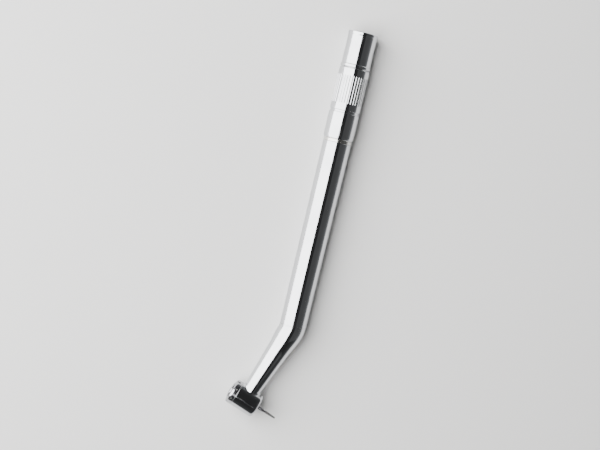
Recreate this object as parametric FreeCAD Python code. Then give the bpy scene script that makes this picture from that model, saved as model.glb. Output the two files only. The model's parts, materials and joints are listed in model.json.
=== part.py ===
"""High-speed dental air-turbine handpiece with the four-way hose coupling at its rear end.

Millimetres. The handle lies along +X and the origin is the centre of the coupling's hose mouth, so X grows
from the hose towards the head. +Z is up with the handpiece lying on its side, as it lies on a tray: the neck
bends in the XY plane, towards -Y, and the bur points to +Y at a right angle to the neck.

Three frames are used. Handle parts are made where they lie, about the X axis. Neck parts are made about the X
axis from the bend and turned by in_neck(). Head parts are made about the X axis, X pointing from the push
button to the bur tip and Y pointing away from the handle, and moved by in_head().
"""

import FreeCAD, Part

import math
import os

from FreeCAD import Matrix, Placement, Rotation, Vector

# Outside of the object, rear to front
FERRULE_LENGTH = 15.0
COUPLING_LENGTH = 45.0  # hose mouth to the nut's front edge
COUPLING_R = 6.4
FERRULE_R = 6.25
HANDLE_REAR_R = 6.0
HANDLE_FRONT_R = 5.6
BEND_X = 127.0  # where the handle's and the neck's centre lines cross
BEND_DEG = 20.0
BEND_R = 9.5
NECK_LENGTH = 35.5  # from the bend to the head's axis
NECK_KNEE = 10.0  # from the bend to where the neck's taper becomes slower
NECK_KNEE_R = 4.85
NECK_FRONT_R = 3.65
HEAD_R = 5.3
HEAD_FACE = 6.0  # from the neck's centre line to the face that the bur comes out of
CAP_SEAM = -4.6
CAP_TOP = -7.2
BUTTON_TOP = -7.7

# Walls and fits
SHELL_WALL = 0.7
FIT = 0.03  # radial gap of pieces that are pressed, screwed or soldered together
SLIP = 0.08  # radial gap of pieces that slide on each other
SEAM = 0.05

# The four ways through the handpiece: (across, up, tube radius, tube wall)
PORTS = {
    "drive_air": (0.0, 1.6, 1.0, 0.2),
    "exhaust": (0.0, -2.0, 1.4, 0.25),
    "chip_air": (-2.6, 0.2, 0.5, 0.15),
    "water": (2.6, 0.2, 0.5, 0.15),
}
# Where three of them lie in the neck at the head end: (across, up)
NECK_PORTS = {"drive_air": (0.0, 1.6), "chip_air": (-0.6, -2.0), "water": (1.6, -0.6)}

# Hose coupling, along the handle's axis
MOUTH_R = 5.25
MOUTH_DEPTH = 9.5
SKIRT_R = 4.75
SKIRT_WALL = 0.55
BLOCK_REAR = 24.0
FLANGE_REAR = 36.3
TERMINAL_FRONT = 38.4
FLANGE_R = 5.0
GASKET = 0.8
SPIGOT_REAR = TERMINAL_FRONT + GASKET
COLLAR_REAR = COUPLING_LENGTH + 0.15
COLLAR_FRONT = 46.35
COLLAR_R = 5.95
THREAD_BORE_R = FLANGE_R + SLIP  # the nut is put on over the flange
THREAD_PITCH = 0.75
THREAD_DEPTH = 0.4
SPIGOT_R = THREAD_BORE_R + THREAD_DEPTH - SLIP
UNDERCUT = 0.8  # length of the plain neck beyond the end of a thread
PIN_REAR = 34.7
SOCKET_REAR = 33.6
TAIL_REAR = 14.0
TAIL_SEAT = 28.0
LAND_REAR = 29.0
NUT_REAR_BORE_R = 5.3
GRIP_REAR = 18.5
GRIP_FRONT = 30.0
GRIP_COUNT = 36
GRIP_FLUTE_R = 0.4
GRIP_DEPTH = 0.14
CLIP_X = 28.3
CLIP_WIDTH = 0.6
MANIFOLD_FRONT = 58.0
MANIFOLD_SEAL_X = 52.0

# Handle and neck
SHELL_REAR = COLLAR_FRONT + SEAM
SHELL_BORE_REAR_R = HANDLE_REAR_R - SHELL_WALL
SHELL_BORE_FRONT_R = 4.95
SPIGOT_SEAT_X = 117.0
NECK_WALL = 0.8
BULKHEAD_X = 115.6
BULKHEAD_WIDTH = 1.6
NECK_SEAL_X = 121.0
VALVE_REAR = 60.0
VALVE_LENGTH = 9.0
VALVE_R = 1.4
VALVE_BALL_R = 0.6

# Turbine, along the head's axis
CHAMBER_R = 4.3
CHAMBER_REAR = -2.0
CHAMBER_FRONT = 2.1
CAP_THREAD_R = 4.75
NOZZLE_R = 0.33
BEARING_SEAT_R = 3.6
BEARING_R = 3.175
BEARING_BORE_R = 1.5875
BEARING_WIDTH = 2.38
FRONT_BEARING = 2.15  # rear face of the front bearing
REAR_BEARING = -4.5
BALL_R = 0.5
BALL_COUNT = 7
BALL_PITCH_R = 2.4
SPINDLE_R = 1.57
SPINDLE_BORE_R = 1.15
SPINDLE_REAR = -4.75
SPINDLE_FRONT = 5.6
SHANK_R = 0.8
SHANK_REAR = -4.2
BLADE_COUNT = 12
IMPELLER_R = 4.05
IMPELLER_REAR = -1.5
IMPELLER_FRONT = 1.6

X_AXIS = Vector(1, 0, 0)
Z_AXIS = Vector(0, 0, 1)
ORIGIN = Vector(0, 0, 0)
BEND = math.radians(BEND_DEG)
NECK_DIRECTION = Vector(math.cos(BEND), -math.sin(BEND), 0)
BUR_DIRECTION = Vector(math.sin(BEND), math.cos(BEND), 0)
BEND_POINT = Vector(BEND_X, 0, 0)
HEAD_CENTRE = BEND_POINT + NECK_DIRECTION * NECK_LENGTH
BEND_TANGENT = BEND_R * math.tan(BEND / 2)  # from the bend's point to each end of its arc


# ---------------------------------------------------------------------------------------------- making shapes


def rounded_wire(corners, closed):
    """A wire through (point, rounding radius) corners: straight runs joined by tangent arcs."""
    edges = []
    ends = []
    count = len(corners)
    for i, (point, radius) in enumerate(corners):
        before = corners[i - 1][0]
        after = corners[(i + 1) % count][0]
        if radius <= 0 or (not closed and i in (0, count - 1)):
            ends.append((point, None, point))
            continue
        back = (before - point).normalize()
        onward = (after - point).normalize()
        half = back.getAngle(onward) / 2
        if math.cos(half) < 1e-4:
            ends.append((point, None, point))
            continue
        inward = (back + onward).normalize()
        centre = point + inward * (radius / math.sin(half))
        tangent = radius / math.tan(half)
        ends.append((point + back * tangent, centre - inward * radius, point + onward * tangent))
    for i in range(count if closed else count - 1):
        here = ends[i]
        following = ends[(i + 1) % count]
        if here[1] is not None and closed:
            edges.append(Part.Arc(*here).toShape())
        if (following[0] - here[2]).Length > 1e-6:
            edges.append(Part.LineSegment(here[2], following[0]).toShape())
        if following[1] is not None and not closed:
            edges.append(Part.Arc(*following).toShape())
    return Part.Wire(edges)


def turned(*outline):
    """A solid of revolution about the X axis. Each point is (along, radius) or (along, radius, rounding)."""
    corners = [(Vector(p[0], p[1], 0), p[2] if len(p) > 2 else 0) for p in outline]
    return Part.Face(rounded_wire(corners, True)).revolve(ORIGIN, X_AXIS, 360)


def ring(start, end, outer, inner, rounding=0.0):
    """A plain ring about the X axis, its outer edges rounded."""
    return turned((start, inner), (end, inner), (end, outer, rounding), (start, outer, rounding))


def rod(start, end, radius, across=0.0, up=0.0):
    """A cylinder along X."""
    return Part.makeCylinder(radius, end - start, Vector(start, across, up), X_AXIS)


def o_ring(along, centre_r, section_r):
    torus = Part.makeTorus(centre_r, section_r)
    torus.Placement = Placement(Vector(along, 0, 0), Rotation(Z_AXIS, X_AXIS))
    return torus


def swept(points, radius, bend_radius):
    """A round bar along a path of straight runs joined by arcs."""
    path = rounded_wire([(p, bend_radius) for p in points], False)
    profile = Part.Wire(Part.makeCircle(radius, points[0], points[1] - points[0]))
    return path.makePipeShell([profile], True, True)


def coil(start, length, pitch, radius, wire_r, cone_deg=0.0):
    """A helical spring about the X axis."""
    helix = Part.makeHelix(pitch, length, radius, cone_deg)
    first = helix.Edges[0]
    begin = first.valueAt(first.FirstParameter)
    along = first.tangentAt(first.FirstParameter)
    profile = Part.Wire(Part.makeCircle(wire_r, begin, along))
    spring = Part.Wire(helix.Edges).makePipeShell([profile], True, True)
    spring.Placement = Placement(Vector(start, 0, 0), Rotation(Z_AXIS, X_AXIS))
    return spring


def thread_groove(start, end, crest_r, slack=0.0):
    """A helical groove about the X axis. Cut out of a cylinder, it leaves a right-handed thread."""
    outer_r, root_r = crest_r + 0.1, crest_r - THREAD_DEPTH
    wide, narrow = THREAD_PITCH * 0.44 - slack, THREAD_PITCH * 0.08 - slack
    corners = [(outer_r, -wide), (outer_r, wide), (root_r, narrow), (root_r, -narrow), (outer_r, -wide)]
    profile = Part.makePolygon([Vector(radius, 0, along) for radius, along in corners])
    helix = Part.makeHelix(THREAD_PITCH, end - start, crest_r)
    groove = Part.Wire(helix.Edges).makePipeShell([profile], True, True)
    groove.Placement = Placement(Vector(start, 0, 0), Rotation(Z_AXIS, X_AXIS))
    return groove


def screw(start, end, crest_r):
    """A pin with a thread from start to end and a plain neck beyond it, to cut a nut's thread with."""
    neck_r = crest_r - THREAD_DEPTH - 0.05
    neck_end = end + UNDERCUT
    pin = turned((start, 0), (start, crest_r), (end, crest_r), (end, neck_r), (neck_end, neck_r), (neck_end, 0))
    return pin.cut(thread_groove(start - 1, end + UNDERCUT / 2, crest_r, SLIP / 2))


def around(shape, count, first_deg=0.0):
    """Copies of a shape spaced evenly about the X axis."""
    copies = []
    for i in range(count):
        one = shape.copy()
        one.rotate(ORIGIN, X_AXIS, first_deg + 360.0 * i / count)
        copies.append(one)
    return copies


def in_neck(shape):
    """Moves a shape made about the X axis from the bend's point onto the neck."""
    moved = shape.copy()
    moved.Placement = Placement(BEND_POINT, Rotation(Z_AXIS, -BEND_DEG)).multiply(moved.Placement)
    return moved


def in_head(shape):
    """Moves a shape from the head's own frame to its place."""
    a, n, c = BUR_DIRECTION, NECK_DIRECTION, HEAD_CENTRE
    frame = Matrix(a.x, n.x, 0, c.x, a.y, n.y, 0, c.y, 0, 0, -1, 0, 0, 0, 0, 1)
    moved = shape.copy()
    moved.Placement = Placement(frame).multiply(moved.Placement)
    return moved


def neck_point(along, across, up):
    """A point of the neck: its distance from the bend, towards the bur's side, and up."""
    return BEND_POINT + NECK_DIRECTION * along + BUR_DIRECTION * across + Z_AXIS * up


# ---------------------------------------------------------------------------------------------- hose coupling


def coupling_nut():
    """The sleeve that turns by hand and draws the hose end onto the handle."""
    rear = FERRULE_LENGTH + 0.3
    line_rear = 33.0
    groove = 0.35
    thread_rear = SPIGOT_REAR - 0.2
    thread_r = THREAD_BORE_R + THREAD_DEPTH
    body = turned(
        (rear, NUT_REAR_BORE_R),
        (LAND_REAR, NUT_REAR_BORE_R),
        (LAND_REAR, SKIRT_R + SLIP),
        (FLANGE_REAR - SEAM, SKIRT_R + SLIP),
        (FLANGE_REAR - SEAM, THREAD_BORE_R),
        (thread_rear - 0.8, THREAD_BORE_R),
        (thread_rear - 0.8, thread_r + 0.05),
        (thread_rear, thread_r + 0.05),
        (thread_rear, THREAD_BORE_R - 0.1),
        (COUPLING_LENGTH, THREAD_BORE_R - 0.1),
        (COUPLING_LENGTH, COUPLING_R - 0.25, 0.25),
        (COUPLING_LENGTH - 1.0, COUPLING_R, 0.6),
        (line_rear + 0.9, COUPLING_R, 0.15),
        (line_rear + 0.9, COUPLING_R - groove, 0.1),
        (line_rear, COUPLING_R - groove, 0.1),
        (line_rear, COUPLING_R, 0.15),
        (rear, COUPLING_R, 0.3),
    )
    flute = rod(GRIP_REAR, GRIP_FRONT, GRIP_FLUTE_R, COUPLING_R + GRIP_FLUTE_R - GRIP_DEPTH)
    in_step = SPIGOT_REAR - THREAD_PITCH  # a whole turn behind the spigot's thread, so that the two mesh
    return body.cut(around(flute, GRIP_COUNT)).cut(screw(in_step, COUPLING_LENGTH + 0.3, thread_r))


def hose_ferrule():
    """The rear shell, screwed on the terminal's skirt. The hose jacket sits in its mouth."""
    return turned(
        (0, MOUTH_R),
        (MOUTH_DEPTH, MOUTH_R),
        (MOUTH_DEPTH, SKIRT_R + FIT),
        (FERRULE_LENGTH, SKIRT_R + FIT),
        (FERRULE_LENGTH, FERRULE_R + 0.1, 0.3),
        (FERRULE_LENGTH - 1.2, FERRULE_R + 0.1, 0.3),
        (FERRULE_LENGTH - 1.4, FERRULE_R - 0.15, 0.1),
        (1.6, FERRULE_R - 0.15, 0.2),
        (1.2, FERRULE_R, 0.2),
        (0, FERRULE_R, 0.4),
    )


def hose_terminal():
    """The block that the handle's four tubes plug into, with a skirt round the four tails."""
    skirt_bore = SKIRT_R - SKIRT_WALL
    block = turned(
        (MOUTH_DEPTH + 0.2, skirt_bore),
        (BLOCK_REAR, skirt_bore),
        (BLOCK_REAR, 0),
        (TERMINAL_FRONT, 0),
        (TERMINAL_FRONT, FLANGE_R),
        (FLANGE_REAR, FLANGE_R),
        (FLANGE_REAR, SKIRT_R),
        (MOUTH_DEPTH + 0.2, SKIRT_R),
    )
    block = block.cut(ring(CLIP_X - 0.05, CLIP_X + CLIP_WIDTH + 0.05, 6, 4.4))
    cuts = []
    for across, up, radius, wall in PORTS.values():
        cuts.append(rod(SOCKET_REAR, TERMINAL_FRONT + 1, radius + SLIP, across, up))
        cuts.append(rod(TAIL_SEAT - 0.5, SOCKET_REAR + 0.5, radius - wall, across, up))
        cuts.append(rod(BLOCK_REAR - 1, TAIL_SEAT, radius + FIT, across, up))
    return block.cut(cuts)


def hose_tail(port):
    """A barbed tube that one way of the hose is pushed over."""
    across, up, radius, wall = PORTS[port]
    barb = 0.18
    tail = turned(
        (TAIL_REAR, radius - wall),
        (TAIL_SEAT - 0.1, radius - wall),
        (TAIL_SEAT - 0.1, radius),
        (TAIL_REAR + 5.0, radius),
        (TAIL_REAR + 5.0, radius + barb),
        (TAIL_REAR + 2.9, radius),
        (TAIL_REAR + 2.4, radius),
        (TAIL_REAR + 2.4, radius + barb),
        (TAIL_REAR, radius - 0.05),
    )
    tail.translate(Vector(0, across, up))
    return tail


def gasket():
    body = rod(TERMINAL_FRONT + 0.02, SPIGOT_REAR - 0.02, FLANGE_R - 0.1)
    holes = [rod(TERMINAL_FRONT - 1, SPIGOT_REAR + 1, p[2] + SLIP, p[0], p[1]) for p in PORTS.values()]
    return body.cut(holes)


def terminal_clip():
    """The open spring ring that keeps the nut on the terminal."""
    whole = ring(CLIP_X, CLIP_X + CLIP_WIDTH, 5.15, 4.43, 0.1)
    gap = Part.makeBox(2, 3.4, 3, Vector(CLIP_X - 0.5, -1.7, 3.5))
    return whole.cut(gap)


# ---------------------------------------------------------------------------------------------- handle


def rear_manifold():
    """The block in the handle's rear end: the threaded spigot, the collar and the four ways through."""
    groove_x = MANIFOLD_SEAL_X
    undercut_r = SPIGOT_R - THREAD_DEPTH - 0.05
    body = turned(
        (SPIGOT_REAR, 0),
        (SPIGOT_REAR, SPIGOT_R - 0.45, 0.1),
        (SPIGOT_REAR + 0.5, SPIGOT_R, 0.1),
        (COLLAR_REAR - UNDERCUT, SPIGOT_R),
        (COLLAR_REAR - UNDERCUT, undercut_r),
        (COLLAR_REAR, undercut_r),
        (COLLAR_REAR, COLLAR_R, 0.2),
        (COLLAR_FRONT, COLLAR_R, 0.1),
        (COLLAR_FRONT, SHELL_BORE_REAR_R - FIT - 0.03),
        (groove_x - 0.4, SHELL_BORE_REAR_R - FIT - 0.03),
        (groove_x - 0.4, 4.7),
        (groove_x + 0.4, 4.7),
        (groove_x + 0.4, SHELL_BORE_REAR_R - FIT - 0.06),
        (MANIFOLD_FRONT, SHELL_BORE_REAR_R - FIT - 0.09, 0.4),
        (MANIFOLD_FRONT, 0),
    )
    holes = [rod(SPIGOT_REAR - 1, MANIFOLD_FRONT + 1, p[2] + FIT, p[0], p[1]) for p in PORTS.values()]
    thread = thread_groove(SPIGOT_REAR - 1, COLLAR_REAR - UNDERCUT / 2, SPIGOT_R)
    return body.cut(holes + [thread])


def handle_shell():
    """The long polished tube that the hand holds."""
    front = BEND_X - BEND_TANGENT - SEAM
    slope = (HANDLE_REAR_R - HANDLE_FRONT_R) / (front - SHELL_REAR)
    bore_at_seat = SHELL_BORE_FRONT_R
    return turned(
        (SHELL_REAR, SHELL_BORE_REAR_R),
        (SPIGOT_SEAT_X - 4, bore_at_seat + 4 * slope),
        (SPIGOT_SEAT_X, bore_at_seat),
        (front, bore_at_seat),
        (front, HANDLE_FRONT_R, 0.08),
        (SHELL_REAR, HANDLE_REAR_R, 0.15),
    )


def tube(port, start_x, neck_end):
    """A tube of the handle that runs on through the bend and the neck to neck_end from the bend's point."""
    across, up, radius, wall = PORTS[port]
    neck_across, neck_up = NECK_PORTS[port]
    merge = 0.35  # share of the neck over which the tubes draw together
    points = [
        Vector(start_x, across, up),
        Vector(BEND_X - across * math.tan(BEND / 2), across, up),
        neck_point(neck_end * merge, neck_across, neck_up),
        neck_point(neck_end, neck_across, neck_up),
    ]
    bend_radius = 9.0
    outer = swept(points, radius, bend_radius)
    inner = swept(points, radius - wall, bend_radius)
    return outer.cut(inner)


def straight_tube(port, start_x, end_x):
    across, up, radius, wall = PORTS[port]
    return rod(start_x, end_x, radius, across, up).cut(rod(start_x - 1, end_x + 1, radius - wall, across, up))


def neck_bulkhead():
    """The disc that holds the tubes apart and lets the spent air of the neck into the exhaust tube."""
    body = ring(BULKHEAD_X, BULKHEAD_X + BULKHEAD_WIDTH - 0.3, SHELL_BORE_FRONT_R - 0.05, 0.4, 0.1)
    plug = rod(BULKHEAD_X, BULKHEAD_X + BULKHEAD_WIDTH - 0.3, 0.4)
    holes = [rod(BULKHEAD_X - 1, BULKHEAD_X + 3, p[2] + FIT, p[0], p[1]) for p in PORTS.values()]
    return body.fuse(plug).removeSplitter().cut(holes)


def valve_parts():
    """The anti-retraction valve of the water way: its barrel, ball and spring."""
    across, up, radius, _ = PORTS["water"]
    seat = VALVE_REAR + 3.0
    chamber_front = VALVE_REAR + VALVE_LENGTH - 2.0
    chamber_r = VALVE_BALL_R + 0.12
    hole_r = 0.35
    barrel = turned(
        (VALVE_REAR, radius + FIT),
        (VALVE_REAR + 2.0, radius + FIT),
        (VALVE_REAR + 2.0, hole_r),
        (seat, hole_r),
        (seat + 0.2, chamber_r),
        (chamber_front, chamber_r),
        (chamber_front, radius + FIT),
        (VALVE_REAR + VALVE_LENGTH, radius + FIT),
        (VALVE_REAR + VALVE_LENGTH, VALVE_R, 0.3),
        (VALVE_REAR, VALVE_R, 0.3),
    )
    ball_x = seat + 0.52
    ball = Part.makeSphere(VALVE_BALL_R, Vector(ball_x, 0, 0))
    spring_start = ball_x + VALVE_BALL_R + 0.12
    spring = coil(spring_start, chamber_front - spring_start - 0.12, 0.45, 0.5, 0.09)
    for shape in (barrel, ball, spring):
        shape.translate(Vector(0, across, up))
    return {"check_valve_barrel": barrel, "check_valve_ball": ball, "check_valve_spring": spring}


# ---------------------------------------------------------------------------------------------- neck and head


def bend_piece(radius):
    """A stretch of torus between the handle's axis and the neck's."""
    start = Vector(BEND_X - BEND_TANGENT, 0, 0)
    face = Part.Face(Part.Wire(Part.makeCircle(radius, start, X_AXIS)))
    return face.revolve(start - Vector(0, BEND_R, 0), Z_AXIS * -1, BEND_DEG)


def neck_piece(rear_r, knee_r, front_r, end):
    """The neck's taper as a solid, from the front of the bend up to a distance from the bend's point."""
    return turned(
        (BEND_TANGENT, 0),
        (BEND_TANGENT, rear_r),
        (BEND_TANGENT + 1.6, rear_r, 25.0),
        (NECK_KNEE, knee_r, 40.0),
        (end, front_r),
        (end, 0),
    )


def head_barrel():
    """The outside of the head without its cap, solid."""
    return turned(
        (CAP_SEAM + SEAM, 0),
        (CAP_SEAM + SEAM, HEAD_R, 0.08),
        (HEAD_FACE, HEAD_R, 1.2),
        (HEAD_FACE, 0),
    )


def head_bores():
    """What is bored out of the head along its own axis."""
    groove = 3.9
    groove_x = FRONT_BEARING + BEARING_WIDTH / 2
    stepped = turned(
        (CAP_SEAM - 1, 0),
        (CAP_SEAM - 1, CAP_THREAD_R),
        (CHAMBER_REAR, CAP_THREAD_R),
        (CHAMBER_REAR, CHAMBER_R),
        (CHAMBER_FRONT, CHAMBER_R),
        (CHAMBER_FRONT, BEARING_SEAT_R),
        (groove_x - 0.45, BEARING_SEAT_R),
        (groove_x - 0.45, groove),
        (groove_x + 0.45, groove),
        (groove_x + 0.45, BEARING_SEAT_R),
        (4.8, BEARING_SEAT_R),
        (4.8, 2.3),
        (HEAD_FACE - 0.5, 2.3),
        (HEAD_FACE + 0.1, 2.9),
        (HEAD_FACE + 0.1, 0),
    )
    gallery = ring(5.05, 5.4, 4.95, 3.15)
    feeds = []
    for port in ("chip_air", "water"):
        across, up = NECK_PORTS[port]
        wall_middle = 4.72
        feed = Part.makeCylinder(0.25, 5.2 - across, Vector(across, 0, 0), X_AXIS)
        feed.translate(Vector(0, -math.sqrt(wall_middle**2 - up**2), -up))
        feeds.append(feed)
    return [stepped, gallery] + feeds + spray_holes(NOZZLE_R)


def spray_holes(radius):
    """Rods where the three spray nozzles sit, aimed at the bur."""
    nozzle_r, lean_deg = 3.75, 18
    hole = Part.makeCylinder(radius, 1.4, Vector(5.1, nozzle_r, 0), X_AXIS)
    hole.rotate(Vector(HEAD_FACE, nozzle_r, 0), Z_AXIS, -lean_deg)
    return around(hole, 3, 60)


def spray_nozzles():
    """Three short jets pressed into the head's face, one node."""
    jets = [jet.cut(hole) for jet, hole in zip(spray_holes(NOZZLE_R - 0.02), spray_holes(NOZZLE_R / 2))]
    keep = ring(5.2, HEAD_FACE + 0.08, HEAD_R, 2.0)
    return Part.makeCompound([jet.common(keep).Solids[0] for jet in jets])


def head_housing():
    """The head's barrel, the neck, the bend and the spigot that sits in the handle, in one casting."""
    barrel_back = NECK_LENGTH - 3.0
    neck_bore_end = NECK_LENGTH - HEAD_R
    spigot_r = SHELL_BORE_FRONT_R - FIT
    bend_start = BEND_X - BEND_TANGENT
    spigot = rod(SPIGOT_SEAT_X + 0.05, bend_start, spigot_r)
    outside = bend_piece(HANDLE_FRONT_R).fuse(
        [
            spigot,
            in_neck(neck_piece(HANDLE_FRONT_R, NECK_KNEE_R, NECK_FRONT_R, barrel_back)),
            in_head(head_barrel()),
        ]
    )
    outside = fillet_neck_root(outside.removeSplitter())
    bore_r = SHELL_BORE_FRONT_R - 0.5
    bores = [
        rod(SPIGOT_SEAT_X - 1, bend_start, spigot_r - SHELL_WALL),
        bend_piece(bore_r),
        in_neck(neck_piece(bore_r, NECK_KNEE_R - NECK_WALL, NECK_FRONT_R - NECK_WALL, neck_bore_end)),
        ring(NECK_SEAL_X - 0.4, NECK_SEAL_X + 0.4, 6, 4.4),
    ]
    bores += [in_head(b) for b in head_bores()]
    for port, (across, up) in NECK_PORTS.items():
        reach = NECK_LENGTH - (3.6 if port == "drive_air" else 4.5)
        bore = rod(neck_bore_end - 1, reach, PORTS[port][2] + FIT, across, up)
        bores.append(in_neck(bore))
    bores.append(in_neck(rod(neck_bore_end - 1, NECK_LENGTH - 3.0, 0.6, -0.9, -0.5)))
    return outside.cut(bores)


def fillet_neck_root(shape, radius=0.7):
    """Rounds the edge where the neck meets the head's barrel."""
    root = []
    for edge in shape.Edges:
        middle = edge.valueAt((edge.FirstParameter + edge.LastParameter) / 2)
        offset = middle - HEAD_CENTRE
        along = offset.dot(NECK_DIRECTION)
        level = abs(offset.dot(BUR_DIRECTION))
        near = (offset - BUR_DIRECTION * offset.dot(BUR_DIRECTION)).Length
        if along < -2 and level < NECK_FRONT_R + 0.5 and abs(near - HEAD_R) < 0.1:
            root.append(edge)
    return shape.makeFillet(radius, root)


def back_cap():
    """The screwed cap that closes the head and holds the rear bearing and the push button."""
    groove_x = REAR_BEARING + BEARING_WIDTH / 2
    body = turned(
        (CAP_TOP, 3.95),
        (-5.0, 3.95),
        (-5.0, 2.0),
        (-4.75, 2.0),
        (-4.75, BEARING_SEAT_R),
        (groove_x - 0.45, BEARING_SEAT_R),
        (groove_x - 0.45, 3.9),
        (groove_x + 0.45, 3.9),
        (groove_x + 0.45, BEARING_SEAT_R),
        (CHAMBER_REAR - 0.05, BEARING_SEAT_R),
        (CHAMBER_REAR - 0.05, CAP_THREAD_R - FIT),
        (CAP_SEAM, CAP_THREAD_R - FIT),
        (CAP_SEAM, HEAD_R, 0.08),
        (CAP_TOP, HEAD_R, 1.0),
    )
    notch_r, notch_count = 0.48, 8
    notch = rod(CAP_TOP - 1, CAP_TOP + 1.7, notch_r, HEAD_R + 0.05)
    return body.cut(around(notch, notch_count, 22.5))


def push_button():
    """The button that opens the chuck."""
    return turned(
        (BUTTON_TOP + 0.15, 0),
        (BUTTON_TOP + 0.15, 1.9),
        (BUTTON_TOP, 2.2, 0.2),
        (BUTTON_TOP, 3.1, 0.35),
        (-6.3, 3.1),
        (-6.3, 3.75),
        (-5.95, 3.75),
        (-5.95, 2.0),
        (-6.1, 0.8, 0.2),
        (-5.4, 0.7),
        (-5.4, 0),
    )


def ball_bearing(start, name):
    """An angular ball bearing whose rear face is at start: rings, balls and cage."""
    middle = start + BEARING_WIDTH / 2
    end = start + BEARING_WIDTH
    race = o_ring(middle, BALL_PITCH_R, BALL_R + 0.03)
    outer = ring(start, end, BEARING_R, 2.72, 0.1).cut(race)
    inner = ring(start, end, 2.08, BEARING_BORE_R).cut(race)
    ball = Part.makeSphere(BALL_R, Vector(middle, BALL_PITCH_R, 0))
    pocket = Part.makeCylinder(BALL_R + 0.03, 2, Vector(middle, 1.5, 0), Vector(0, 1, 0))
    cage = ring(middle - 0.8, middle + 0.8, 2.58, 2.24).cut(around(pocket, BALL_COUNT))
    return {
        name + "_bearing_outer_ring": outer,
        name + "_bearing_inner_ring": inner,
        name + "_bearing_balls": Part.makeCompound(around(ball, BALL_COUNT)),
        name + "_bearing_cage": cage,
        name + "_bearing_o_ring": o_ring(middle, 3.53, 0.33),
    }


def on_wheel(radius, degrees):
    """A point of the turbine wheel's plane."""
    turn = math.radians(degrees)
    return Vector(IMPELLER_REAR, radius * math.cos(turn), radius * math.sin(turn))


def impeller():
    """The turbine wheel: curved buckets on a hub, with a web between them."""
    hub_r = 2.35
    root_r = 2.1
    width = IMPELLER_FRONT - IMPELLER_REAR
    hollow = Part.Arc(on_wheel(root_r, 0), on_wheel(3.2, 13), on_wheel(IMPELLER_R, 6)).toShape()
    tip = Part.Arc(on_wheel(IMPELLER_R, 6), on_wheel(IMPELLER_R, 9), on_wheel(IMPELLER_R, 12)).toShape()
    back = Part.Arc(on_wheel(IMPELLER_R, 12), on_wheel(3.2, 22), on_wheel(root_r, 18)).toShape()
    foot = Part.LineSegment(on_wheel(root_r, 18), on_wheel(root_r, 0)).toShape()
    blade = Part.Face(Part.Wire([hollow, tip, back, foot])).extrude(X_AXIS * width)
    hub = ring(IMPELLER_REAR, IMPELLER_FRONT, hub_r, SPINDLE_R + 0.01)
    web = ring(-0.2, 0.3, 3.4, SPINDLE_R + 0.01)
    shoulders = ring(REAR_BEARING + BEARING_WIDTH + 0.02, FRONT_BEARING - 0.02, 1.95, SPINDLE_R + 0.01)
    wheel = hub.fuse([web, shoulders] + around(blade, BLADE_COUNT))
    bore = rod(IMPELLER_REAR - 1, IMPELLER_FRONT + 1, SPINDLE_R + 0.01)
    return wheel.cut(bore)


def chuck_collet():
    """The spring collet in the spindle that grips the bur."""
    body = turned(
        (-2.75, SHANK_R + 0.02),
        (5.2, SHANK_R + 0.02),
        (5.2, SPINDLE_BORE_R - 0.02),
        (-2.2, SPINDLE_BORE_R - 0.02),
        (-2.75, SHANK_R + 0.12),
    )
    slit = Part.makeBox(4.6, 2.0, 0.16, Vector(-3.0, 0.3, -0.08))
    return body.cut(around(slit, 3, 30))


def chuck_pusher():
    """The cup between the button and the collet. It spreads the collet's fingers and frees the bur."""
    skirt_r = SPINDLE_BORE_R - 0.03
    return turned(
        (-5.05, 0),
        (-5.05, skirt_r, 0.15),
        (-3.25, skirt_r),
        (-3.25, SHANK_R + 0.08),
        (-4.7, SHANK_R + 0.08),
        (-4.7, 0),
    )


def bur_shank():
    """The bur's polished shank, with the groove and neck below its working end."""
    return turned(
        (SHANK_REAR, 0),
        (SHANK_REAR, SHANK_R, 0.15),
        (HEAD_FACE + 2.4, SHANK_R, 0.3),
        (HEAD_FACE + 3.4, 0.5, 0.3),
        (HEAD_FACE + 3.8, 0.5),
        (HEAD_FACE + 3.8, 0),
    )


def bur_tip():
    """The diamond-coated working end, a round-ended taper."""
    start = HEAD_FACE + 3.82
    return turned(
        (start, 0),
        (start, 0.62, 0.1),
        (start + 4.9, 0.42, 0.4),
        (start + 4.9, 0),
    )


def head_parts():
    parts = {
        "back_cap": back_cap(),
        "button_retaining_ring": ring(CAP_TOP + 0.05, -6.4, 3.95 - FIT, 3.2, 0.12),
        "push_button": push_button(),
        "button_spring": coil(-5.82, 0.69, 0.34, 2.35, 0.1, 45),
        "preload_washer": ring(-4.72, -4.53, 3.5, 2.75),
        "front_dust_shield": ring(FRONT_BEARING + BEARING_WIDTH + 0.05, 4.78, 3.55, 1.75),
        "spindle": ring(SPINDLE_REAR, SPINDLE_FRONT, SPINDLE_R, SPINDLE_BORE_R, 0.15),
        "impeller": impeller(),
        "chuck_collet": chuck_collet(),
        "chuck_pusher": chuck_pusher(),
        "bur_shank": bur_shank(),
        "bur_tip": bur_tip(),
        "spray_nozzles": spray_nozzles(),
    }
    parts.update(ball_bearing(REAR_BEARING, "rear"))
    parts.update(ball_bearing(FRONT_BEARING, "front"))
    return {name: in_head(shape) for name, shape in parts.items()}


# ---------------------------------------------------------------------------------------------- all pieces


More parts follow.
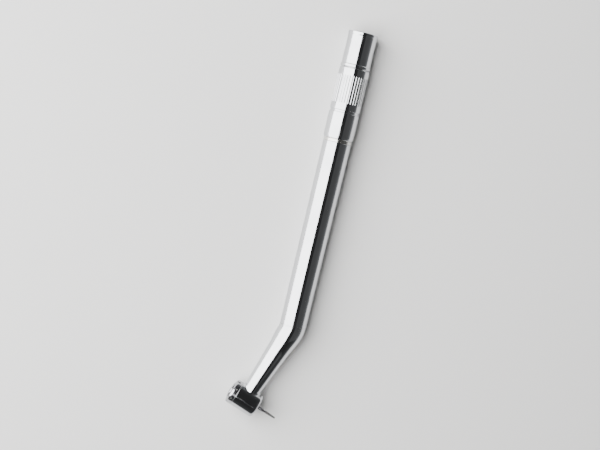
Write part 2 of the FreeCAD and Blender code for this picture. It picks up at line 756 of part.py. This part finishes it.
def all_parts():
    neck_tube_end = NECK_LENGTH - 5.0
    parts = {
        "coupling_nut": coupling_nut(),
        "hose_ferrule": hose_ferrule(),
        "hose_terminal": hose_terminal(),
        "terminal_gasket": gasket(),
        "terminal_clip": terminal_clip(),
        "ferrule_o_ring": o_ring(17.0, SKIRT_R + 0.27, 0.25),
        "rear_manifold": rear_manifold(),
        "manifold_o_ring": o_ring(MANIFOLD_SEAL_X, 4.97, 0.26),
        "handle_shell": handle_shell(),
        "neck_bulkhead": neck_bulkhead(),
        "neck_o_ring": o_ring(NECK_SEAL_X, 4.68, 0.25),
        "head_housing": head_housing(),
        "drive_air_tube": tube("drive_air", PIN_REAR, NECK_LENGTH - 4.1),
        "exhaust_tube": straight_tube("exhaust", PIN_REAR, BULKHEAD_X + BULKHEAD_WIDTH),
        "chip_air_tube": tube("chip_air", PIN_REAR, neck_tube_end),
        "water_tube_rear": straight_tube("water", PIN_REAR, VALVE_REAR + 1.95),
        "water_tube_front": tube("water", VALVE_REAR + VALVE_LENGTH - 1.95, neck_tube_end),
    }
    for port in PORTS:
        parts[port + "_tail"] = hose_tail(port)
    parts.update(valve_parts())
    parts.update(head_parts())
    return parts


os.makedirs("parts", exist_ok=True)
for part_name, part_shape in all_parts().items():
    if not part_shape.isValid():
        print("not valid:", part_name)
    print(part_name, len(part_shape.Solids), round(part_shape.Volume, 2))
    part_shape.exportStep("parts/" + part_name + ".step")
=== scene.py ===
import json
import math

import bmesh
import bpy
from mathutils import Matrix, Vector, noise


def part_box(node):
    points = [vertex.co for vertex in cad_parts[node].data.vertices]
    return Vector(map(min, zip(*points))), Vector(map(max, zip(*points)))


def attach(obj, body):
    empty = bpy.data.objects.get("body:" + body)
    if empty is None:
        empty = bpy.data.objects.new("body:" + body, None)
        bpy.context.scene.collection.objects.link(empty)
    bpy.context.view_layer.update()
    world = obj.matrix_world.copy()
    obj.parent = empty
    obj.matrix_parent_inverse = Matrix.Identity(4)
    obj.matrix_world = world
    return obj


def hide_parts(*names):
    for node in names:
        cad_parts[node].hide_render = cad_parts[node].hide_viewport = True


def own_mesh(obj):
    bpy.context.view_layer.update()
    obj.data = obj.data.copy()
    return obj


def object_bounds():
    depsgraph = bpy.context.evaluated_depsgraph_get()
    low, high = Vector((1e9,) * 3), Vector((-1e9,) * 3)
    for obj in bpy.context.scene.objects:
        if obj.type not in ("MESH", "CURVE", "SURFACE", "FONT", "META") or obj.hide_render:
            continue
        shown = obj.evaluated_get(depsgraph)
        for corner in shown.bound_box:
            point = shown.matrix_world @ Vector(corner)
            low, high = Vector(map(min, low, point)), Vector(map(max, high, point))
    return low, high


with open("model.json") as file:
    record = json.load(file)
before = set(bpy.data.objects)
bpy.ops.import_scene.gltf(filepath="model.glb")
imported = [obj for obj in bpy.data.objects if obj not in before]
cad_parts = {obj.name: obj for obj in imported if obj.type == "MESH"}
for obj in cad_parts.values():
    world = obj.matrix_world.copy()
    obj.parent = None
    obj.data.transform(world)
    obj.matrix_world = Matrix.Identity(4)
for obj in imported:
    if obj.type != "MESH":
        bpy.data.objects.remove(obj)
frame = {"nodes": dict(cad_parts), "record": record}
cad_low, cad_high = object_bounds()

MM = 0.001
RECORD = frame["record"]
JOINTS = {joint["name"]: joint for joint in RECORD["behaviour"]["joints"]}
HEAD_CENTRE = Vector(JOINTS["rotor_spin"]["pos_m"])
BUR_DIRECTION = Vector(JOINTS["rotor_spin"]["axis"]).normalized()
HEAD_TURN = math.atan2(BUR_DIRECTION.y, BUR_DIRECTION.x)  # about Z, from +X to the bur's direction
NECK_TURN = HEAD_TURN - math.pi / 2


# ---------------------------------------------------------------------------------------------- material nodes


MIX_A, MIX_B, MIX_RESULT = 6, 7, 2  # the colour sockets of a Mix node
BEVEL_SAMPLES = 6
WORN_COSINE, UNWORN_COSINE = 0.90, 0.995  # between the bevelled and the true normal
EDGE_PATCHES = 400  # patches of edge wear in a metre


class Nodes:
    """Short calls for building one material's node tree. Patterns are laid out in metres, in the object's frame."""

    def __init__(self, name):
        self.material = bpy.data.materials.new(name)
        self.material.use_nodes = True
        self.tree = self.material.node_tree
        self.shader = self.tree.nodes["Principled BSDF"]
        self.place = self.add("ShaderNodeTexCoord").outputs["Object"]

    def add(self, kind, links=(), **values):
        node = self.tree.nodes.new(kind)
        for key, value in values.items():
            setattr(node, key, value)
        for socket, source in dict(links).items():
            if isinstance(source, bpy.types.NodeSocket):
                self.tree.links.new(source, node.inputs[socket])
            else:
                node.inputs[socket].default_value = source
        return node

    def stretched(self, along, across, turn):
        """Coordinates turned about Z, then scaled by one number along the turned X axis and another across it."""
        links = {"Vector": self.place, "Rotation": (0, 0, turn), "Scale": (1 / along, 1 / across, 1 / across)}
        return self.add("ShaderNodeMapping", links, vector_type="TEXTURE").outputs[0]

    def noise(self, scale, detail=3.0, vector=None):
        links = {"Vector": vector or self.place, "Scale": scale, "Detail": detail}
        return self.add("ShaderNodeTexNoise", links).outputs[0]

    def cells(self, scale, feature="F1"):
        links = {"Vector": self.place, "Scale": scale}
        return self.add("ShaderNodeTexVoronoi", links, feature=feature).outputs["Distance"]

    def ranged(self, value, low, high, start=0.3, end=0.7):
        links = {"Value": value, "From Min": start, "From Max": end, "To Min": low, "To Max": high}
        return self.add("ShaderNodeMapRange", links).outputs[0]

    def combined(self, first, second, operation="ADD"):
        return self.add("ShaderNodeMath", {0: first, 1: second}, operation=operation).outputs[0]

    def mixed(self, share, first, second):
        node = self.add("ShaderNodeMix", {"Factor": share}, data_type="RGBA")
        for socket, colour in ((MIX_A, first), (MIX_B, second)):
            if isinstance(colour, bpy.types.NodeSocket):
                self.tree.links.new(colour, node.inputs[socket])
            else:
                node.inputs[socket].default_value = (*colour, 1)
        return node.outputs[MIX_RESULT]

    def edges(self, width):
        """1 on edges up to about a width, 0 elsewhere, with a ragged border."""
        rounded = self.add("ShaderNodeBevel", {"Radius": width}, samples=BEVEL_SAMPLES).outputs[0]
        flat = self.add("ShaderNodeNewGeometry").outputs["Normal"]
        dot = self.add("ShaderNodeVectorMath", {0: rounded, 1: flat}, operation="DOT_PRODUCT").outputs["Value"]
        sharp = self.ranged(dot, 1.0, 0.0, WORN_COSINE, UNWORN_COSINE)
        return self.combined(sharp, self.ranged(self.noise(EDGE_PATCHES, 4.0), 0.2, 1.0), "MULTIPLY")

    def bump(self, height, distance, strength=1.0):
        links = {"Height": height, "Distance": distance, "Strength": strength}
        return self.add("ShaderNodeBump", links).outputs[0]

    def set(self, **values):
        for name, value in values.items():
            socket = self.shader.inputs[name.replace("_", " ")]
            if isinstance(value, bpy.types.NodeSocket):
                self.tree.links.new(value, socket)
            else:
                socket.default_value = (*value, 1) if isinstance(value, tuple) else value
        return self.material


# Reflectance at 82 degrees over Schlick's estimate of it, from the metal's refractive index n and extinction k
STEEL_RIM = 0.77  # n = 2.95, k = 2.93
CHROME_RIM = 0.75  # n = 3.18, k = 3.31
NICKEL_RIM = 0.85  # n = 1.78, k = 3.35
ALUMINIUM_RIM = 0.91  # n = 0.96, k = 6.69

BARE_METAL = (0.78, 0.76, 0.72)
SMUDGE_PATCHES, SPECK_PATCHES = 150, 5200  # in a metre
SMUDGE_TONE = 0.93
SMUDGE_ROUGHNESS, SPECK_ROUGHNESS, WEAR_ROUGHNESS = 0.08, 0.05, 0.14


def metal(
    name,
    colour,
    roughness,
    lines,
    depth,
    turn=0.0,
    wear=BARE_METAL,
    edge=0.12 * MM,
    rim=STEEL_RIM,
):
    """Machined or polished metal.

    lines is how many noise features there are in a metre along and across the axis that the piece was turned or
    polished about, and depth how deep those lines are. Handling leaves faint dull smudges, and edges wear paler.
    rim is one of the ratios above.
    """
    n = Nodes(name)
    smudges = n.ranged(n.noise(SMUDGE_PATCHES, 6.0), 0.0, 1.0, 0.40, 0.66)
    specks = n.ranged(n.noise(SPECK_PATCHES, 2.0), 0.0, 1.0, 0.55, 0.80)
    grain = n.noise(1.0, 2.0, n.stretched(*lines, turn))
    worn = n.edges(edge)
    dulled = tuple(channel * SMUDGE_TONE for channel in colour)
    tone = n.mixed(smudges, colour, dulled)
    smudged = n.ranged(smudges, roughness, roughness + SMUDGE_ROUGHNESS, 0.0, 1.0)
    rough = n.combined(smudged, n.ranged(specks, 0.0, SPECK_ROUGHNESS, 0.0, 1.0))
    rough = n.combined(rough, n.ranged(worn, 0.0, WEAR_ROUGHNESS, 0.0, 1.0))
    return n.set(
        Base_Color=n.mixed(worn, tone, wear),
        Metallic=1.0,
        Roughness=rough,
        Specular_Tint=(rim, rim, rim),
        Normal=n.bump(grain, depth),
    )


def grit(name):
    """Diamond grains held in nickel: pale glassy grains, with painted shade darkening the gaps between them, where
    the rougher bond lies.
    """
    n = Nodes(name)
    bond_and_gap_shade = n.ranged(n.cells(11000), 0.0, 1.0, 0.25, 0.60)
    tint = n.mixed(n.noise(2600), (0.20, 0.20, 0.195), (0.33, 0.32, 0.295))
    # painted shade: the near-black colour in the gaps between the grains stands in for shade there, not the bond's
    # own colour
    colour = n.mixed(bond_and_gap_shade, tint, (0.08, 0.08, 0.085))
    facets = n.bump(n.cells(16000, "SMOOTH_F1"), 0.02 * MM, 0.8)
    return n.set(Base_Color=colour, Metallic=0.85, Roughness=n.ranged(bond_and_gap_shade, 0.22, 0.55, 0.0, 1.0), Normal=facets)


def ceramic(name):
    """Silicon nitride: near black and glossy, with faint cloudy patches."""
    n = Nodes(name)
    clouds = n.noise(2500, 4.0)
    tone = n.mixed(clouds, (0.030, 0.031, 0.034), (0.075, 0.077, 0.082))
    lapped = n.bump(n.noise(14000, 2.0), 0.0004 * MM)
    return n.set(Base_Color=tone, Metallic=0.0, Roughness=n.ranged(clouds, 0.05, 0.14), Normal=lapped)


def phenolic(name):
    """Cotton cloth in brown resin: the woven threads show as a fine check of lighter flecks."""
    n = Nodes(name)
    threads = [
        n.add(
            "ShaderNodeTexWave",
            {"Vector": n.place, "Scale": 1900.0, "Distortion": 1.6, "Detail": 2.0, "Detail Scale": 1.5},
            bands_direction=direction,
        ).outputs["Fac"]
        for direction in ("X", "Y")
    ]
    weave = n.combined(*threads, "MULTIPLY")
    tone = n.mixed(n.ranged(weave, 0.0, 1.0, 0.1, 0.8), (0.25, 0.125, 0.05), (0.50, 0.31, 0.15))
    return n.set(
        Base_Color=tone,
        Metallic=0.0,
        Roughness=n.ranged(weave, 0.62, 0.45, 0.0, 1.0),
        Normal=n.bump(weave, 0.008 * MM, 0.7),
    )


def rubber(name):
    """Black moulded nitrile with a dull bloom."""
    n = Nodes(name)
    bloom = n.noise(900, 5.0)
    tone = n.mixed(n.ranged(bloom, 0.0, 1.0), (0.014, 0.014, 0.015), (0.045, 0.045, 0.047))
    skin = n.bump(n.noise(9000, 3.0), 0.006 * MM, 0.7)
    return n.set(Base_Color=tone, Metallic=0.0, Roughness=n.ranged(bloom, 0.42, 0.66), Normal=skin)


def floor_paint(name):
    """A pale, nearly even mat."""
    n = Nodes(name)
    tone = n.mixed(n.noise(7, 4.0), (0.80, 0.795, 0.785), (0.77, 0.765, 0.755))
    return n.set(
        Base_Color=tone, Roughness=n.ranged(n.noise(60), 0.62, 0.74), Normal=n.bump(n.noise(1500), 0.02 * MM)
    )


# Features in a metre (along, across) the axis: rings left by a lathe, and fine scratches left by a polishing belt
RINGS = (9000, 90)
FINE_RINGS = (26000, 120)
SCRATCHES = (90, 7000)

CHROME = (0.64, 0.65, 0.67)
LOOKS = {
    "polished_chrome": lambda s: metal(s, CHROME, 0.035, SCRATCHES, 0.0007 * MM, rim=CHROME_RIM),
    "sleeve_chrome": lambda s: metal(s, CHROME, 0.05, FINE_RINGS, 0.0006 * MM, rim=CHROME_RIM),
    "cap_steel": lambda s: metal(s, (0.50, 0.50, 0.52), 0.13, FINE_RINGS, 0.0008 * MM, HEAD_TURN),
    "spray_steel": lambda s: metal(s, (0.55, 0.55, 0.56), 0.22, FINE_RINGS, 0.0008 * MM, HEAD_TURN, edge=0.03 * MM),
    "bur_steel": lambda s: metal(s, (0.36, 0.36, 0.38), 0.16, FINE_RINGS, 0.0008 * MM, HEAD_TURN, edge=0.05 * MM),
    "bur_grit": grit,
    "plated_brass": lambda s: metal(
        s, (0.74, 0.73, 0.70), 0.14, RINGS, 0.0012 * MM, wear=(0.78, 0.60, 0.30), edge=0.08 * MM, rim=NICKEL_RIM
    ),
    "terminal_aluminium": lambda s: metal(s, (0.72, 0.73, 0.75), 0.24, RINGS, 0.0015 * MM, rim=ALUMINIUM_RIM),
    "tube_steel": lambda s: metal(s, (0.66, 0.66, 0.68), 0.20, SCRATCHES, 0.0008 * MM, edge=0.05 * MM),
    "spring_steel": lambda s: metal(s, (0.55, 0.55, 0.57), 0.20, SCRATCHES, 0.0006 * MM, HEAD_TURN, edge=0.03 * MM),
    "bearing_steel": lambda s: metal(s, (0.68, 0.68, 0.70), 0.08, FINE_RINGS, 0.0004 * MM, HEAD_TURN, edge=0.04 * MM),
    "ball_ceramic": ceramic,
    "cage_phenolic": phenolic,
    "seal_rubber": rubber,
    "turbine_aluminium": lambda s: metal(
        s, (0.78, 0.78, 0.80), 0.20, RINGS, 0.0015 * MM, HEAD_TURN, edge=0.05 * MM, rim=ALUMINIUM_RIM
    ),
    "rotor_steel": lambda s: metal(s, (0.64, 0.64, 0.66), 0.15, FINE_RINGS, 0.0008 * MM, HEAD_TURN, edge=0.05 * MM),
}
MATERIALS = {slot: look(slot) for slot, look in LOOKS.items()}
HEAD_CHROME = metal("head_chrome", CHROME, 0.035, SCRATCHES, 0.0007 * MM, NECK_TURN, rim=CHROME_RIM)
LOOK_OF_NODE = {"head_housing": HEAD_CHROME}

for part in RECORD["subparts"]:
    for material_slot in frame["nodes"][part["node"]].material_slots:
        material_slot.material = LOOK_OF_NODE.get(part["node"], MATERIALS[part["material_slot"]])


# ---------------------------------------------------------------------------------------------- pieces in mesh code


def extent(node, origin, axis):
    """How far a CAD node reaches along an axis from a point on it, as (distance, radius) of each of its points."""
    offsets = [v.co - origin for v in frame["nodes"][node].data.vertices]
    return [(o.dot(axis), (o - axis * o.dot(axis)).length) for o in offsets]


def new_piece(name, rows, body, node):
    """A closed mesh through rows of points, standing for a CAD node. A row of one point is a pole."""
    shape = bmesh.new()
    rings = [[shape.verts.new(point) for point in row] for row in rows]
    sides = max(len(ring) for ring in rings)
    for here, following in zip(rings, rings[1:]):
        for i in range(sides):
            j = (i + 1) % sides
            corners = [here[i % len(here)], here[j % len(here)]]
            corners += [following[j % len(following)], following[i % len(following)]]
            shape.faces.new(list(dict.fromkeys(corners)))
    for ring in (rings[0], rings[-1]):
        if len(ring) > 1:
            shape.faces.new(ring)
    bmesh.ops.recalc_face_normals(shape, faces=shape.faces)
    for face in shape.faces:
        face.smooth = True
    mesh = bpy.data.meshes.new(name)
    shape.to_mesh(mesh)
    shape.free()
    piece = bpy.data.objects.new(name, mesh)
    bpy.context.collection.objects.link(piece)
    slot = next(part["material_slot"] for part in RECORD["subparts"] if part["node"] == node)
    mesh.materials.append(MATERIALS[slot])
    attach(piece, body)
    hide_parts(node)
    return piece


def bur_profile(rear_r, front_r, length, nose_r, step):
    """(along, radius) points of a taper with a round nose, from its rear centre to its front centre."""
    nose_start = length - nose_r
    count = int(nose_start / step)
    points = [(0.0, 0.0), (0.0, rear_r * 0.5), (0.0, rear_r * 0.9), (0.02 * MM, rear_r)]
    points += [(nose_start * i / count, rear_r + (front_r - rear_r) * i / count) for i in range(1, count)]
    turns = [math.pi / 2 * i / 16 for i in range(16)]
    points += [(nose_start + nose_r * math.sin(t), front_r - nose_r + nose_r * math.cos(t)) for t in turns]
    return points + [(length, front_r - nose_r), (length, 0.0)]


GRAIN_STEEPNESS = 2.6
LOWEST_GRAIN, GRAIN_VARIATION = 0.55, 0.45
GRAIN_SPREAD = 3.7  # sets neighbouring grains far apart in the noise that gives their heights


def grain_height(place, size):
    """0 between grains, up to 1 on a grain's facet; each grain has its own height."""
    distances, centres = noise.voronoi(place / size)
    wall = min(1.0, (distances[1] - distances[0]) * GRAIN_STEEPNESS)
    own = LOWEST_GRAIN + GRAIN_VARIATION * abs(noise.noise(centres[0] * GRAIN_SPREAD))
    return wall * own


BUR_FRONT_R, BUR_NOSE_R = 0.42 * MM, 0.38 * MM
BUR_SIDES, BUR_STEP = 168, 0.022 * MM
GRAIN_DEPTH, GRAIN_SIZE = 0.055 * MM, 0.13 * MM


def make_bur_tip():
    """The working end with its coating: the CAD solid's shape, with the gaps between the grains sunk into it."""
    reach = extent("bur_tip", HEAD_CENTRE, BUR_DIRECTION)
    rear, front = min(a for a, _ in reach), max(a for a, _ in reach)
    rear_r = max(r for _, r in reach)
    side = Vector((0, 0, 1))
    across = BUR_DIRECTION.cross(side)
    rows = []
    for along, radius in bur_profile(rear_r, BUR_FRONT_R, front - rear, BUR_NOSE_R, BUR_STEP):
        middle = HEAD_CENTRE + BUR_DIRECTION * (rear + along)
        if radius == 0.0:
            rows.append([middle])
            continue
        row = []
        for i in range(BUR_SIDES):
            turn = 2 * math.pi * i / BUR_SIDES
            outward = side * math.cos(turn) + across * math.sin(turn)
            gap = 1 - grain_height(middle + outward * radius, GRAIN_SIZE)
            sunk = GRAIN_DEPTH * gap * min(1.0, radius / rear_r * 2)
            row.append(middle + outward * (radius - min(sunk, radius * 0.5)))
        rows.append(row)
    new_piece("bur_grains", rows, "bur", "bur_tip")


STEPS_PER_TURN = 56
WIRE_SIDES = 14


def make_spring(name, node, origin, axis, turns, wire_r):
    """A coil in the CAD spring's place, wound from one end of it to the other.
    """
    reach = extent(node, origin, axis)
    start, end = min(a for a, _ in reach) + wire_r, max(a for a, _ in reach) - wire_r
    near = [r for a, r in reach if a < start]
    far = [r for a, r in reach if a > end]
    start_r, end_r = (min(near) + max(near)) / 2, (min(far) + max(far)) / 2
    side = Vector((0, 0, 1))
    across = axis.cross(side)
    steps = int(turns * STEPS_PER_TURN)
    centres = []
    for i in range(steps + 1):
        share = i / steps
        turn = 2 * math.pi * turns * share
        outward = side * math.cos(turn) + across * math.sin(turn)
        along = axis * (start + (end - start) * share)
        centres.append(origin + along + outward * (start_r + (end_r - start_r) * share))
    rows = []
    for i, centre in enumerate(centres):
        onward = (centres[min(i + 1, steps)] - centres[max(i - 1, 0)]).normalized()
        first = onward.cross(axis).normalized()
        second = onward.cross(first)
        circle = [2 * math.pi * k / WIRE_SIDES for k in range(WIRE_SIDES)]
        rows.append([centre + (first * math.cos(t) + second * math.sin(t)) * wire_r for t in circle])
    piece = new_piece(name, rows, "handpiece", node)
    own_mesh(piece)


VALVE_LOW, VALVE_HIGH = (Vector(corner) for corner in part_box("check_valve_spring"))
VALVE_AXIS = Vector((0, (VALVE_LOW.y + VALVE_HIGH.y) / 2, (VALVE_LOW.z + VALVE_HIGH.z) / 2))
make_bur_tip()
make_spring(
    "button_coil",
    "button_spring",
    origin=HEAD_CENTRE,
    axis=BUR_DIRECTION,
    turns=1.44,
    wire_r=0.1 * MM,
)
make_spring(
    "valve_coil",
    "check_valve_spring",
    origin=VALVE_AXIS,
    axis=Vector((1, 0, 0)),
    turns=5.86,
    wire_r=0.09 * MM,
)


# ---------------------------------------------------------------------------------------------- stage


def panel(name, centre_x, width, lower, upper, radiance):
    """A soft light panel seen edge-on along X, from lower to upper, both (y, z), facing the handpiece."""
    (y0, z0), (y1, z1) = lower, upper
    height = math.hypot(y1 - y0, z1 - z0)
    centre = Vector((centre_x, (y0 + y1) / 2, (z0 + z1) / 2))
    facing = Vector((0, z1 - z0, y0 - y1)).normalized()
    if facing.z > 0:
        facing = -facing
    light = bpy.data.lights.new(name, "AREA")
    light.shape = "RECTANGLE"
    light.size, light.size_y = width, height
    light.energy = radiance * math.pi * width * height
    holder = bpy.data.objects.new(name, light)
    bpy.context.collection.objects.link(holder)
    holder.location = centre
    holder.rotation_euler = facing.to_track_quat("-Z", "Y").to_euler()


FLOOR_SIZE, FLOOR_X = 4, 0.08


def make_floor():
    bpy.ops.mesh.primitive_plane_add(size=FLOOR_SIZE, location=(FLOOR_X, 0, cad_low.z))
    floor = bpy.context.object
    floor.name = "floor"
    floor.data.materials.append(floor_paint("floor_paint"))


def make_world():
    """A dim room: dark overhead, and greyer towards the level of the floor."""
    world = bpy.data.worlds.new("studio")
    world.use_nodes = True
    tree = world.node_tree
    place = tree.nodes.new("ShaderNodeTexCoord")
    split = tree.nodes.new("ShaderNodeSeparateXYZ")
    ramp = tree.nodes.new("ShaderNodeValToRGB")
    tree.links.new(place.outputs["Generated"], split.inputs[0])
    tree.links.new(split.outputs["Z"], ramp.inputs[0])
    tree.links.new(ramp.outputs[0], tree.nodes["Background"].inputs[0])
    stops = [(0.0, 0.40), (0.10, 0.20), (0.30, 0.06), (0.70, 0.035), (1.0, 0.03)]
    for i, (height, grey) in enumerate(stops):
        stop = ramp.color_ramp.elements[i] if i < 2 else ramp.color_ramp.elements.new(height)
        stop.position = height
        stop.color = (grey, grey * 1.01, grey * 1.03, 1)
    bpy.context.scene.world = world


def make_camera():
    """Looks down on the handpiece's side, rolled so that it hangs from the top of the picture, its head low."""
    lens, sensor, height_share = 85.0, 36.0, 0.90
    lean, tilt = math.radians(13.5), math.radians(4.0)
    centre = (cad_low + cad_high) / 2
    right = Vector((-math.sin(lean), math.cos(lean), 0))
    back = Matrix.Rotation(-tilt, 3, right) @ Vector((0, 0, 1))
    up = back.cross(right)
    ends = (cad_low, cad_high)
    heights = [(Vector((a.x, b.y, c.z)) - centre).dot(up) for a in ends for b in ends for c in ends]
    half_view = math.atan(sensor / 2 / lens * 3 / 4)  # the picture is 4 wide and 3 high
    distance = (max(heights) - min(heights)) / 2 / height_share / math.tan(half_view)
    data = bpy.data.cameras.new("camera")
    data.lens, data.sensor_width = lens, sensor
    data.clip_start, data.clip_end = 0.01, 20
    camera = bpy.data.objects.new("camera", data)
    bpy.context.collection.objects.link(camera)
    turn = Matrix((right, up, back)).transposed().to_4x4()
    camera.matrix_world = Matrix.Translation(centre + back * distance) @ turn
    bpy.context.scene.camera = camera


make_floor()
make_world()
make_camera()
panel("key", centre_x=0.0, width=0.90, lower=(-0.85, 0.04), upper=(-0.06, 0.80), radiance=7.5)
panel("fill", centre_x=0.08, width=0.90, lower=(0.80, 0.10), upper=(0.30, 0.72), radiance=0.06)
